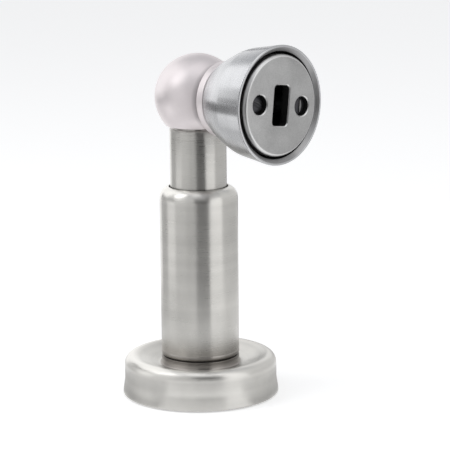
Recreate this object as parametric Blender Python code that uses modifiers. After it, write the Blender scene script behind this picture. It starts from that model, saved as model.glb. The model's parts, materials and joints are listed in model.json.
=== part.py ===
"""Floor door holder with a magnetic ball head and the keeper that goes on the door.

A round base stands on the floor and carries a telescopic post. The ball on top of the post holds a
pot magnet in its flat side, and the keeper's sprung striker sits on that magnet.

Frame: metres, +Z up, origin at the centre of the base's underside. The keeper's axis is horizontal,
runs through the ball's centre and points along +X.
Run it with: blender --background --python part.py
"""

import math

import bmesh
import bpy

MM = 0.001

# Driving dimensions
GAP = 0.3 * MM  # left between solids that touch on the real object

BASE_RADIUS = 25.2 * MM  # foot of the cover's flared skirt
SKIRT_RADIUS = 24.5 * MM  # the skirt above the flare
COVER_TOP_Z = 12.7 * MM  # the cover's crest, near its outer edge
DISH_Z = 10.0 * MM  # the cover's flat middle, where the post stands
DISH_RADIUS = 13.4 * MM
DISH_SLOPE_DEG = 19  # from the flat middle up to the crest
COVER_LIFT = 0.4 * MM  # the skirt stays clear of the floor
COVER_SHEET = 1.0 * MM
COVER_CORNER = 2.8 * MM  # outer corner radius of the cover

FLOOR_PLATE_RADIUS = 22.6 * MM
FLOOR_PLATE_THICKNESS = 3.5 * MM
FLOOR_HOLE_CIRCLE = 16.0 * MM
FLOOR_HOLE_RADIUS = 2.3 * MM
FLOOR_SINK_RADIUS = 4.6 * MM
FLOOR_HOLE_START_DEG = 62
FLOOR_BOSS_RADIUS = 8.0 * MM
FLOOR_BOSS_TOP_Z = 5.0 * MM

STUD_RADIUS = 4.0 * MM
STUD_BOTTOM_Z = 1.5 * MM
STUD_TOP_Z = 20.5 * MM
NUT_FLATS = 13.0 * MM
NUT_HEIGHT = 3.4 * MM  # its top carries the cover

SLEEVE_RADIUS = 12.5 * MM
SLEEVE_WALL = 1.2 * MM
SLEEVE_BOTTOM_Z = 13.0 * MM
SLEEVE_TOP_Z = 67.5 * MM
SHOULDER_REACH = 3.0 * MM  # the sleeve's top is rolled in by this much,
SHOULDER_RISE = 4.0 * MM  # over this height
COLLAR_TOP_Z = SLEEVE_BOTTOM_Z - GAP
COLLAR_SPIGOT_TOP_Z = 21.0 * MM

TUBE_RADIUS = 9.0 * MM
TUBE_WALL = 1.0 * MM
TUBE_BOTTOM_Z = 40.3 * MM
TUBE_TOP_Z = 85.5 * MM
BUSH_BOTTOM_Z = 54.5 * MM
BUSH_TOP_Z = 63.2 * MM
LOCK_SCREW_Z = 59.0 * MM
LOCK_SCREW_RADIUS = 2.0 * MM
TUBE_FOOT_HEIGHT = 3.0 * MM
TUBE_FOOT_TOP_Z = 48.0 * MM
PLUG_FLANGE = 0.8 * MM
PLUG_BOTTOM_Z = 74.0 * MM

BOLT_RADIUS = 3.0 * MM
BOLT_HEAD_RADIUS = 5.0 * MM
BOLT_HEAD_HEIGHT = 3.3 * MM
BOLT_TOP_Z = 91.8 * MM
WASHER_THICKNESS = 0.9 * MM

BALL_RADIUS = 13.5 * MM
BALL_Z = 96.2 * MM  # height of the ball's centre, and of the keeper's axis
SEAT_Z = 86.9 * MM  # flat underside of the ball
MAGNET_FACE_X = 10.6 * MM  # flat side of the ball
POCKET_RADIUS = 7.4 * MM
POCKET_DEPTH = 5.3 * MM

# Along the keeper's axis, from the ball's centre
STRIKER_FACE_X = MAGNET_FACE_X + GAP
STRIKER_RADIUS = 8.9 * MM
STRIKER_FLANGE_RADIUS = 10.1 * MM
STRIKER_FLANGE_X = (14.6 * MM, 16.1 * MM)
STEM_RADIUS = 3.0 * MM
STEM_END_X = 27.8 * MM
CLIP_GROOVE_X = (26.2 * MM, 27.1 * MM)
CLIP_GROOVE_RADIUS = 2.3 * MM

NOSE_FRONT_X = 11.1 * MM
NOSE_BACK_X = 14.3 * MM
NOSE_RADIUS = 11.8 * MM
NOSE_BORE = 9.3 * MM
NOSE_SPIGOT_X = 17.6 * MM

HOUSING_FRONT_X = NOSE_BACK_X + GAP
HOUSING_FRONT_RADIUS = 12.0 * MM
KNEE_X = 26.0 * MM  # where the bell curve meets the shallow taper
KNEE_RADIUS = 16.85 * MM
RIM_X = 36.0 * MM
RIM_RADIUS = 18.3 * MM
RIM_BORE = 16.35 * MM
RIM_FUNNEL = 1.15 * MM  # the rim's front slopes in to the bore by this much, at 45 degrees
HOUSING_WALL = 1.5 * MM

CORE_FRONT_X = 20.5 * MM
CORE_WEB_X = (24.0 * MM, 26.0 * MM)
CORE_BACK_X = 31.0 * MM
SPRING_POCKET_RADIUS = 6.0 * MM
SPRING_RADIUS = 4.6 * MM
SPRING_WIRE_RADIUS = 0.5 * MM
SPRING_TURNS = 4.5
HOUSING_SCREW_X = 28.5 * MM
HOUSING_SCREW_RADIUS = 1.5 * MM

PLATE_FACE_X = 36.3 * MM  # stands proud of the rim, so that it meets the door
PLATE_THICKNESS = 3.0 * MM
PLATE_RADIUS = 15.5 * MM
PLATE_BEVEL = 1.1 * MM
PLATE_TURN = math.radians(-6.5)  # the plate, its slot and its screws aren't quite upright
PLATE_SCREW_OFFSET = 9.15 * MM  # from the keeper's axis
PLATE_SINK_RADIUS = 3.0 * MM
PLATE_SINK_DEPTH = 2.2 * MM
SLOT_WIDTH = 6.5 * MM
SLOT_LENGTH = 12.4 * MM
SLOT_CORNER = 1.3 * MM
PLATE_SCREW_RADIUS = 1.6 * MM
PLATE_SCREW_HEAD_RADIUS = 2.6 * MM
PLATE_SCREW_HEAD_X = (34.4 * MM, 35.3 * MM)
PLATE_SCREW_TIP_X = 27.4 * MM

ROUND = 32  # segments of a large round piece
SMALL_ROUND = 16  # segments of a screw, pin or hole
MERGE = 0.01 * MM

ALONG_Z = (0, 0, 0)
ALONG_X = (0, math.pi / 2, 0)  # turns a piece's own +Z to the row's +X
DOWNWARDS = (math.pi, 0, 0)

PARTS = "floor_door_holder"
CUTTERS = "cutters"


# Scene and materials


def clear_scene():
    for obj in list(bpy.data.objects):
        bpy.data.objects.remove(obj)


def collection(name):
    found = bpy.data.collections.get(name)
    if found is None:
        found = bpy.data.collections.new(name)
        bpy.context.scene.collection.children.link(found)
    return found


def metal(name, colour, roughness, metallic=1.0):
    material = bpy.data.materials.new(name)
    material.use_nodes = True
    shader = material.node_tree.nodes["Principled BSDF"]
    shader.inputs["Base Color"].default_value = (*colour, 1.0)
    shader.inputs["Roughness"].default_value = roughness
    shader.inputs["Metallic"].default_value = metallic
    return material


def plastic(name, colour, roughness):
    return metal(name, colour, roughness, metallic=0.0)


# Outlines: lists of (radius, height) points. An outline runs down the outer side, top to bottom.


def arc(centre, radius, start_deg, end_deg, steps, rise=None):
    """Points about centre, from one angle to the other. With a rise the circle becomes an ellipse."""
    if rise is None:
        rise = radius
    angles = [math.radians(start_deg + (end_deg - start_deg) * i / steps) for i in range(steps + 1)]
    return [(centre[0] + radius * math.cos(a), centre[1] + rise * math.sin(a)) for a in angles]


def bezier(p0, p1, p2, p3, steps):
    """Points on a cubic curve, both ends included."""
    points = []
    for i in range(steps + 1):
        t = i / steps
        weights = ((1 - t) ** 3, 3 * t * (1 - t) ** 2, 3 * t**2 * (1 - t), t**3)
        points.append(tuple(sum(w * p[k] for w, p in zip(weights, (p0, p1, p2, p3))) for k in (0, 1)))
    return points


# Solids


def add_object(name, data, material, where=(0, 0, 0), rotation=ALONG_Z, group=PARTS):
    obj = bpy.data.objects.new(name, data)
    obj.location = where
    obj.rotation_euler = rotation
    if material is not None:
        data.materials.append(material)
    collection(group).objects.link(obj)
    if group == CUTTERS:
        obj.hide_render = True
        obj.display_type = "WIRE"
    return obj


def turned(name, outline, material, closed=False, segments=ROUND, **place):
    """An outline turned about the piece's own Z axis. A closed outline makes a ring."""
    mesh = bpy.data.meshes.new(name)
    count = len(outline)
    edges = [(i, i + 1) for i in range(count - 1)] + ([(count - 1, 0)] if closed else [])
    mesh.from_pydata([(r, 0, h) for r, h in outline], edges, [])
    obj = add_object(name, mesh, material, **place)
    screw = obj.modifiers.new("Turn", "SCREW")
    screw.axis = "Z"
    screw.angle = math.tau
    screw.screw_offset = 0
    screw.steps = screw.render_steps = segments
    screw.use_merge_vertices = True
    screw.merge_threshold = MERGE
    screw.use_smooth_shade = True
    return obj


def cylinder(name, radius, bottom, top, material=None, segments=SMALL_ROUND, **place):
    """A cylinder, or a prism of few segments, along its own Z axis from bottom to top."""
    mesh = bpy.data.meshes.new(name)
    shape = bmesh.new()
    bmesh.ops.create_cone(
        shape, cap_ends=True, segments=segments, radius1=radius, radius2=radius, depth=top - bottom
    )
    bmesh.ops.translate(shape, verts=shape.verts, vec=(0, 0, (bottom + top) / 2))
    shape.to_mesh(mesh)
    shape.free()
    return add_object(name, mesh, material, **place)


def box(name, size, material=None, **place):
    mesh = bpy.data.meshes.new(name)
    shape = bmesh.new()
    bmesh.ops.create_cube(shape, size=1.0)
    bmesh.ops.scale(shape, verts=shape.verts, vec=size)
    shape.to_mesh(mesh)
    shape.free()
    return add_object(name, mesh, material, **place)


def boolean(target, other, operation):
    modifier = target.modifiers.new(f"{operation.title()} {other.name}", "BOOLEAN")
    modifier.operation = operation
    modifier.object = other
    modifier.solver = "EXACT"


def cut(target, *cutters):
    for cutter in cutters:
        boolean(target, cutter, "DIFFERENCE")


def as_cutter(**place):
    return {"group": CUTTERS, **place}


# Base: floor plate, stud and nut, and the cover over them


def make_floor_plate(material):
    hole = STUD_RADIUS + GAP
    outline = [
        (0, STUD_BOTTOM_Z - GAP),
        (hole, STUD_BOTTOM_Z - GAP),
        (hole, FLOOR_BOSS_TOP_Z),
        (FLOOR_BOSS_RADIUS, FLOOR_BOSS_TOP_Z),
        (FLOOR_BOSS_RADIUS, FLOOR_PLATE_THICKNESS),
        (FLOOR_PLATE_RADIUS - 0.4 * MM, FLOOR_PLATE_THICKNESS),
        (FLOOR_PLATE_RADIUS, FLOOR_PLATE_THICKNESS - 0.4 * MM),
        (FLOOR_PLATE_RADIUS, 0),
        (0, 0),
    ]
    plate = turned("floor_plate", outline, material)
    above = FLOOR_PLATE_THICKNESS + MM
    sink = [
        (0, above),
        (FLOOR_SINK_RADIUS + MM, above),
        (FLOOR_HOLE_RADIUS, FLOOR_PLATE_THICKNESS + FLOOR_HOLE_RADIUS - FLOOR_SINK_RADIUS),
        (FLOOR_HOLE_RADIUS, -MM),
        (0, -MM),
    ]
    for i in range(3):
        angle = math.radians(FLOOR_HOLE_START_DEG + 120 * i)
        where = (FLOOR_HOLE_CIRCLE * math.cos(angle), FLOOR_HOLE_CIRCLE * math.sin(angle), 0)
        name = f"cut_floor_hole_{i + 1}"
        cut(plate, turned(name, sink, None, segments=SMALL_ROUND, **as_cutter(where=where)))


def make_stud_and_nut(material):
    chamfer = 0.6 * MM
    outline = [
        (0, STUD_TOP_Z),
        (STUD_RADIUS - chamfer, STUD_TOP_Z),
        (STUD_RADIUS, STUD_TOP_Z - chamfer),
        (STUD_RADIUS, STUD_BOTTOM_Z + chamfer),
        (STUD_RADIUS - chamfer, STUD_BOTTOM_Z),
        (0, STUD_BOTTOM_Z),
    ]
    turned("anchor_stud", outline, material, segments=SMALL_ROUND)
    bottom = FLOOR_BOSS_TOP_Z + GAP
    corner = NUT_FLATS / 2 / math.cos(math.radians(30))
    nut = cylinder("stud_nut", corner, bottom, bottom + NUT_HEIGHT, material, segments=6)
    cut(nut, cylinder("cut_nut", STUD_RADIUS + GAP, bottom - MM, bottom + NUT_HEIGHT + MM, **as_cutter()))


def make_base_cover(material):
    """A pressed sheet cover: a flat middle, a slope up to the rounded crest, and a flared skirt."""
    hole = 6.6 * MM
    flare_z = 5.0 * MM
    crest_deg = 90 + DISH_SLOPE_DEG
    corner = (SKIRT_RADIUS - COVER_CORNER, COVER_TOP_Z - COVER_CORNER)
    outline = [(hole, DISH_Z), (DISH_RADIUS, DISH_Z)]
    outline += arc(corner, COVER_CORNER, crest_deg, 0, 5)
    outline += [(SKIRT_RADIUS, flare_z), (BASE_RADIUS, COVER_LIFT + 0.4 * MM), (BASE_RADIUS, COVER_LIFT)]
    outline += [(BASE_RADIUS - COVER_SHEET, COVER_LIFT), (SKIRT_RADIUS - COVER_SHEET, flare_z)]
    outline += arc(corner, COVER_CORNER - COVER_SHEET, 0, crest_deg, 4)
    outline += [(DISH_RADIUS + 0.2 * MM, DISH_Z - COVER_SHEET), (hole, DISH_Z - COVER_SHEET)]
    turned("base_cover", outline, material, closed=True)


# Post: collar, sleeve, bush and lock screw stand still; the tube and what is in it slide


def make_foot_collar(material):
    bore = STUD_RADIUS + GAP
    spigot = SLEEVE_RADIUS - SLEEVE_WALL - GAP
    boss = 6.3 * MM
    edge = 0.3 * MM
    foot_reach, foot_rise = 0.9 * MM, 1.4 * MM
    flange_z = DISH_Z + GAP
    outline = [
        (spigot, COLLAR_SPIGOT_TOP_Z),
        (spigot, COLLAR_TOP_Z),
        (SLEEVE_RADIUS - edge, COLLAR_TOP_Z),
        (SLEEVE_RADIUS, COLLAR_TOP_Z - edge),
        (SLEEVE_RADIUS, flange_z + foot_rise),
        (SLEEVE_RADIUS + foot_reach, flange_z + edge),
        (SLEEVE_RADIUS + foot_reach, flange_z),
        (boss, flange_z),
        (boss, flange_z - 1.0 * MM),
        (bore, flange_z - 1.0 * MM),
        (bore, COLLAR_SPIGOT_TOP_Z),
    ]
    turned("foot_collar", outline, material, closed=True)


def make_post_sleeve(material):
    inner = SLEEVE_RADIUS - SLEEVE_WALL
    shoulder = (SLEEVE_RADIUS - SHOULDER_REACH, SLEEVE_TOP_Z - SHOULDER_RISE)
    outline = arc(shoulder, SHOULDER_REACH, 90, 0, 5, rise=SHOULDER_RISE)
    outline += [
        (SLEEVE_RADIUS, SLEEVE_BOTTOM_Z + 0.3 * MM),
        (SLEEVE_RADIUS - 0.3 * MM, SLEEVE_BOTTOM_Z),
        (inner, SLEEVE_BOTTOM_Z),
    ]
    outline += arc(shoulder, SHOULDER_REACH - SLEEVE_WALL, 0, 90, 4, rise=SHOULDER_RISE - SLEEVE_WALL)
    sleeve = turned("post_sleeve", outline, material, closed=True)
    cut(sleeve, lock_screw_hole("cut_sleeve_hole", inner - MM, SLEEVE_RADIUS + MM))


def lock_screw_hole(name, near, far):
    """A cutter on the sleeve's -X side for the screw that locks the tube's height."""
    return cylinder(
        name, LOCK_SCREW_RADIUS + GAP, -far, -near, **as_cutter(where=(0, 0, LOCK_SCREW_Z), rotation=ALONG_X)
    )


def make_guide_bush(material):
    outer = SLEEVE_RADIUS - SLEEVE_WALL - GAP
    inner = TUBE_RADIUS + GAP
    outline = [
        (outer - 0.4 * MM, BUSH_TOP_Z),
        (outer, BUSH_TOP_Z - 0.4 * MM),
        (outer, BUSH_BOTTOM_Z),
        (inner, BUSH_BOTTOM_Z),
        (inner, BUSH_TOP_Z),
    ]
    bush = turned("guide_bush", outline, material, closed=True)
    cut(bush, lock_screw_hole("cut_bush_hole", inner - MM, outer + MM))


def grub_screw(name, radius, inner, outer, material, **place):
    """A headless screw along its own Z axis with a hexagon socket in its outer, upper end."""
    chamfer = 0.3 * MM
    outline = [
        (0, outer),
        (radius - chamfer, outer),
        (radius, outer - chamfer),
        (radius, inner + chamfer),
        (radius - chamfer, inner),
        (0, inner),
    ]
    screw = turned(name, outline, material, segments=SMALL_ROUND, **place)
    socket = cylinder(
        f"cut_{name}", radius * 0.55, outer - radius, outer + MM, segments=6, **as_cutter(**place)
    )
    cut(screw, socket)


def make_post_tube(material):
    inner = TUBE_RADIUS - TUBE_WALL
    outline = [
        (TUBE_RADIUS - 0.1 * MM, TUBE_TOP_Z),
        (TUBE_RADIUS, TUBE_TOP_Z - 0.1 * MM),
        (TUBE_RADIUS, TUBE_BOTTOM_Z),
        (inner, TUBE_BOTTOM_Z),
        (inner, TUBE_TOP_Z),
    ]
    turned("post_tube", outline, material, closed=True)


def make_tube_foot(material):
    """The plug in the tube's lower end. Its flange runs in the sleeve and can't pass the bush."""
    spigot = TUBE_RADIUS - TUBE_WALL - GAP
    flange = SLEEVE_RADIUS - SLEEVE_WALL - GAP
    top = TUBE_BOTTOM_Z - GAP
    bore = 5.0 * MM
    outline = [
        (spigot, TUBE_FOOT_TOP_Z),
        (spigot, top),
        (flange, top),
        (flange, top - TUBE_FOOT_HEIGHT),
        (bore, top - TUBE_FOOT_HEIGHT),
        (bore, TUBE_FOOT_TOP_Z),
    ]
    turned("tube_foot", outline, material, closed=True)


def make_tube_plug(material):
    """The plug in the tube's upper end, with the thin flange that the ball turns on."""
    spigot = TUBE_RADIUS - TUBE_WALL - GAP
    bore = BOLT_RADIUS + GAP
    flange_z = TUBE_TOP_Z + GAP
    outline = [
        (TUBE_RADIUS, flange_z + PLUG_FLANGE),
        (TUBE_RADIUS, flange_z),
        (spigot, flange_z),
        (spigot, PLUG_BOTTOM_Z),
        (bore, PLUG_BOTTOM_Z),
        (bore, flange_z + PLUG_FLANGE),
    ]
    turned("tube_plug", outline, material, closed=True)


def make_spring_washer(material):
    """The washer that gives the swivel its friction, split like a lock washer."""
    inner = BOLT_RADIUS + GAP
    outer = BOLT_HEAD_RADIUS + 0.6 * MM
    top = PLUG_BOTTOM_Z - GAP
    bottom = top - WASHER_THICKNESS
    outline = [(outer, top), (outer, bottom), (inner, bottom), (inner, top)]
    washer = turned("spring_washer", outline, material, closed=True)
    middle = ((inner + outer) / 2, 0, (top + bottom) / 2)
    split = box("cut_washer", (4 * MM, 0.6 * MM, 3 * MM), **as_cutter(where=middle))
    cut(washer, split)


# Head: the ball, its bolt and its magnet


def make_swivel_bolt(material):
    head_top = PLUG_BOTTOM_Z - 2 * GAP - WASHER_THICKNESS
    head_bottom = head_top - BOLT_HEAD_HEIGHT
    edge = 0.3 * MM
    outline = [
        (0, BOLT_TOP_Z),
        (BOLT_RADIUS - edge, BOLT_TOP_Z),
        (BOLT_RADIUS, BOLT_TOP_Z - edge),
        (BOLT_RADIUS, head_top),
        (BOLT_HEAD_RADIUS, head_top),
        (BOLT_HEAD_RADIUS, head_bottom + edge),
        (BOLT_HEAD_RADIUS - edge, head_bottom),
        (0, head_bottom),
    ]
    bolt = turned("swivel_bolt", outline, material, segments=SMALL_ROUND)
    socket_top = head_bottom + 2.2 * MM
    socket = cylinder("cut_bolt_socket", 2.9 * MM, head_bottom - MM, socket_top, segments=6, **as_cutter())
    cut(bolt, socket)


def make_head_ball(material):
    bore = BOLT_RADIUS + GAP
    bore_top = BOLT_TOP_Z + 0.7 * MM
    seat_deg = math.degrees(math.asin((SEAT_Z - BALL_Z) / BALL_RADIUS))
    outline = arc((0, BALL_Z), BALL_RADIUS, 90, seat_deg, 12)
    outline[0] = (0, BALL_Z + BALL_RADIUS)
    outline += [(bore, SEAT_Z), (bore, bore_top), (0, bore_top)]
    ball = turned("head_ball", outline, material)
    reach = 10 * MM
    centre = (0, 0, BALL_Z)
    flat = box(
        "cut_ball_flat",
        (reach, 4 * BALL_RADIUS, 4 * BALL_RADIUS),
        **as_cutter(where=(MAGNET_FACE_X + reach / 2, 0, BALL_Z)),
    )
    floor_x = MAGNET_FACE_X - POCKET_DEPTH
    along_x = as_cutter(where=centre, rotation=ALONG_X)
    pocket = cylinder("cut_pocket", POCKET_RADIUS, floor_x, MAGNET_FACE_X + MM, segments=ROUND, **along_x)
    screw_hole = cylinder("cut_magnet_screw_hole", 1.8 * MM, 1.2 * MM, floor_x + MM, **along_x)
    cut(ball, flat, pocket, screw_hole)


def on_keeper_axis():
    """Placement of a piece whose own Z axis lies on the keeper's axis, measured from the ball."""
    return {"where": (0, 0, BALL_Z), "rotation": ALONG_X}


def make_magnet(steel, magnet_material, screw_material):
    cup_radius = POCKET_RADIUS - GAP
    cup_back = MAGNET_FACE_X - POCKET_DEPTH + GAP
    cup_floor = cup_back + 1.2 * MM
    cup_inner = cup_radius - 0.9 * MM
    screw_bore = 1.8 * MM
    cup = [
        (cup_radius, MAGNET_FACE_X),
        (cup_radius, cup_back),
        (screw_bore, cup_back),
        (screw_bore, cup_floor),
        (cup_inner, cup_floor),
        (cup_inner, MAGNET_FACE_X),
    ]
    turned("magnet_cup", cup, steel, closed=True, **on_keeper_axis())

    magnet_radius = cup_inner - GAP
    magnet_front = MAGNET_FACE_X - 0.2 * MM
    magnet_back = cup_floor + GAP
    magnet = [
        (magnet_radius, magnet_front),
        (magnet_radius, magnet_back),
        (screw_bore, magnet_back),
        (screw_bore, magnet_back + 0.6 * MM),
        (3.6 * MM, magnet_front),
    ]
    turned("magnet", magnet, magnet_material, closed=True, **on_keeper_axis())

    head_radius = 2.9 * MM
    shank = 1.5 * MM
    head_face = MAGNET_FACE_X - 0.5 * MM
    screw = [
        (0, head_face),
        (head_radius, head_face),
        (head_radius, head_face - 0.2 * MM),
        (shank, head_face - 1.9 * MM),
        (shank, 2.0 * MM),
        (0, 1.6 * MM),
    ]
    fastener = turned("magnet_screw", screw, screw_material, segments=SMALL_ROUND, **on_keeper_axis())
    slot = box("cut_magnet_slot", (1.2 * MM, 0.8 * MM, 8 * MM), **as_cutter(where=(head_face, 0, BALL_Z)))
    cut(fastener, slot)


# Keeper: the piece on the door, held to the ball by the magnet


def make_nose_ring(material):
    spigot_outer = 11.1 * MM
    spigot_inner = 10.5 * MM
    edge = 0.4 * MM
    front_edge = 0.7 * MM
    outline = [
        (spigot_outer, NOSE_SPIGOT_X),
        (spigot_outer, NOSE_BACK_X),
        (NOSE_RADIUS - edge, NOSE_BACK_X),
        (NOSE_RADIUS, NOSE_BACK_X - edge),
    ]
    outline += arc((NOSE_RADIUS - front_edge, NOSE_FRONT_X + front_edge), front_edge, 0, -90, 3)
    outline += [
        (NOSE_BORE + edge, NOSE_FRONT_X),
        (NOSE_BORE, NOSE_FRONT_X + edge),
        (NOSE_BORE, NOSE_BACK_X),
        (spigot_inner, NOSE_BACK_X),
        (spigot_inner, NOSE_SPIGOT_X),
    ]
    turned("nose_ring", outline, material, closed=True, **on_keeper_axis())


def make_striker(iron, clip_material):
    """The iron disc that the magnet holds, on a stem that slides in the core, and its clip."""
    flange_front, flange_back = STRIKER_FLANGE_X
    groove_front, groove_back = CLIP_GROOVE_X
    edge = 0.4 * MM
    outline = [
        (0, STEM_END_X),
        (STEM_RADIUS - edge, STEM_END_X),
        (STEM_RADIUS, STEM_END_X - edge),
        (STEM_RADIUS, groove_back),
        (CLIP_GROOVE_RADIUS, groove_back),
        (CLIP_GROOVE_RADIUS, groove_front),
        (STEM_RADIUS, groove_front),
        (STEM_RADIUS, flange_back),
        (STRIKER_FLANGE_RADIUS, flange_back),
        (STRIKER_FLANGE_RADIUS, flange_front),
        (STRIKER_RADIUS, flange_front),
        (STRIKER_RADIUS, STRIKER_FACE_X + edge),
        (STRIKER_RADIUS - edge, STRIKER_FACE_X),
        (0, STRIKER_FACE_X),
    ]
    turned("striker", outline, iron, **on_keeper_axis())

    inner = CLIP_GROOVE_RADIUS + GAP
    outer = inner + 2.0 * MM
    front, back = groove_front + 0.15 * MM, groove_back - 0.15 * MM
    ring = [(outer, back), (outer, front), (inner, front), (inner, back)]
    clip = turned("stem_clip", ring, clip_material, closed=True, segments=SMALL_ROUND, **on_keeper_axis())
    mouth_centre = ((front + back) / 2, 0, BALL_Z - outer)
    mouth = box("cut_clip_mouth", (3 * MM, 3.6 * MM, 2 * outer), **as_cutter(where=mouth_centre))
    cut(clip, mouth)


def make_striker_spring(material):
    """A compression spring round the stem, between the striker's flange and the core's web."""
    start = STRIKER_FLANGE_X[1] + GAP + SPRING_WIRE_RADIUS
    end = CORE_WEB_X[0] - GAP - SPRING_WIRE_RADIUS
    per_turn = 10
    count = int(SPRING_TURNS * per_turn)
    closed_turn = 2.4 * SPRING_WIRE_RADIUS  # rise of the nearly flat turn at each end
    curve = bpy.data.curves.new("striker_spring", "CURVE")
    curve.dimensions = "3D"
    curve.bevel_depth = SPRING_WIRE_RADIUS
    curve.bevel_resolution = 2
    curve.use_fill_caps = True
    spline = curve.splines.new("POLY")
    spline.points.add(count)
    for i in range(count + 1):
        turn = i / per_turn
        if turn < 1:
            height = start + closed_turn * turn
        elif turn > SPRING_TURNS - 1:
            height = end - closed_turn * (SPRING_TURNS - turn)
        else:
            free = (turn - 1) / (SPRING_TURNS - 2)
            height = start + closed_turn + (end - start - 2 * closed_turn) * free
        angle = math.tau * turn
        point = (SPRING_RADIUS * math.cos(angle), SPRING_RADIUS * math.sin(angle), height)
        spline.points[i].co = (*point, 1.0)
    add_object("striker_spring", curve, material, **on_keeper_axis())


def housing_outer():
    """Outer side of the bell, from the rim to the narrow front end."""
    rim_edge = 0.4 * MM
    front = HOUSING_FRONT_X + 0.3 * MM
    points = arc((RIM_RADIUS - rim_edge, RIM_X - rim_edge), rim_edge, 90, 0, 3)
    points += bezier(
        (KNEE_RADIUS, KNEE_X),
        (KNEE_RADIUS - 0.3 * MM, KNEE_X - 2.2 * MM),
        (13.9 * MM, 17.6 * MM),
        (HOUSING_FRONT_RADIUS, front),
        7,
    )
    return points


def make_keeper_housing(material):
    nose_bore = 11.4 * MM
    nose_bore_end = 18.0 * MM
    outline = [(RIM_BORE, RIM_X - RIM_FUNNEL), (RIM_BORE + RIM_FUNNEL, RIM_X)]
    outline += housing_outer()
    outline += [
        (HOUSING_FRONT_RADIUS - 0.3 * MM, HOUSING_FRONT_X),
        (nose_bore, HOUSING_FRONT_X),
        (nose_bore, nose_bore_end),
        (nose_bore + 0.5 * MM, nose_bore_end + 0.3 * MM),
        (13.0 * MM, CORE_FRONT_X - 0.3 * MM),
        (KNEE_RADIUS - HOUSING_WALL, KNEE_X),
        (15.9 * MM, CORE_BACK_X + 0.2 * MM),
        (RIM_BORE, CORE_BACK_X + 0.5 * MM),
    ]
    housing = turned("keeper_housing", outline, material, closed=True, **on_keeper_axis())
    cut(housing, housing_screw_hole("cut_housing_hole", 14 * MM, RIM_RADIUS + MM))


def housing_screw_hole(name, near, far):
    """A cutter on the keeper's underside for the screw that holds the housing on the core."""
    place = as_cutter(where=(HOUSING_SCREW_X, 0, BALL_Z), rotation=DOWNWARDS)
    return cylinder(name, HOUSING_SCREW_RADIUS + GAP, near, far, **place)


def plate_screw_places():
    """Where the two plate screws' axes cross the plane through the ball's centre."""
    y, rise = PLATE_SCREW_OFFSET * math.cos(PLATE_TURN), PLATE_SCREW_OFFSET * math.sin(PLATE_TURN)
    return {"left": (0, -y, BALL_Z - rise), "right": (0, y, BALL_Z + rise)}


def make_keeper_core(material):
    """The moulding inside the housing. It guides the stem and takes the plate's two screws."""
    web_front, web_back = CORE_WEB_X
    bore = STEM_RADIUS + GAP
    wall_inner = 13.2 * MM
    outline = [
        (15.4 * MM, CORE_BACK_X),
        (KNEE_RADIUS - HOUSING_WALL - GAP, KNEE_X),
        (12.7 * MM, CORE_FRONT_X),
        (SPRING_POCKET_RADIUS, CORE_FRONT_X),
        (SPRING_POCKET_RADIUS, web_front),
        (bore, web_front),
        (bore, web_back),
        (wall_inner, web_back),
        (wall_inner, CORE_BACK_X),
    ]
    core = turned("keeper_core", outline, material, closed=True, **on_keeper_axis())
    boss_radius = 3.4 * MM
    boss_end = PLATE_FACE_X - PLATE_THICKNESS - GAP
    hole_end = PLATE_SCREW_TIP_X - 0.6 * MM
    for side, where in plate_screw_places().items():
        place = as_cutter(where=where, rotation=ALONG_X)
        boss = cylinder(f"add_boss_{side}", boss_radius, web_front + MM, boss_end, **place)
        boolean(core, boss, "UNION")
        hole = cylinder(f"cut_boss_{side}", PLATE_SCREW_RADIUS + GAP, hole_end, boss_end + MM, **place)
        cut(core, hole)
    cut(core, housing_screw_hole("cut_core_hole", wall_inner - MM, KNEE_RADIUS + MM))


def rounded_slot_cutter():
    """The slot through the mounting plate. Only its four long edges reach the plate."""
    size = (3 * PLATE_THICKNESS, SLOT_WIDTH, SLOT_LENGTH)
    middle = (PLATE_FACE_X - PLATE_THICKNESS / 2, 0, BALL_Z)
    slot = box("cut_slot", size, **as_cutter(where=middle, rotation=(PLATE_TURN, 0, 0)))
    rounding = slot.modifiers.new("Round corners", "BEVEL")
    rounding.width = SLOT_CORNER
    rounding.segments = 4
    return slot


def make_mounting_plate(material):
    back = PLATE_FACE_X - PLATE_THICKNESS
    outline = [
        (0, PLATE_FACE_X),
        (PLATE_RADIUS - PLATE_BEVEL, PLATE_FACE_X),
        (PLATE_RADIUS, PLATE_FACE_X - PLATE_BEVEL),
        (PLATE_RADIUS, back + 0.2 * MM),
        (PLATE_RADIUS - 0.2 * MM, back),
        (0, back),
    ]
    plate = turned("mounting_plate", outline, material, **on_keeper_axis())
    sink_floor = PLATE_FACE_X - PLATE_SINK_DEPTH
    for side, where in plate_screw_places().items():
        place = as_cutter(where=where, rotation=ALONG_X)
        sink = cylinder(f"cut_sink_{side}", PLATE_SINK_RADIUS, sink_floor, PLATE_FACE_X + MM, **place)
        through = cylinder(f"cut_through_{side}", PLATE_SCREW_RADIUS + GAP, back - MM, PLATE_FACE_X, **place)
        cut(plate, sink, through)
    cut(plate, rounded_slot_cutter())


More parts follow.
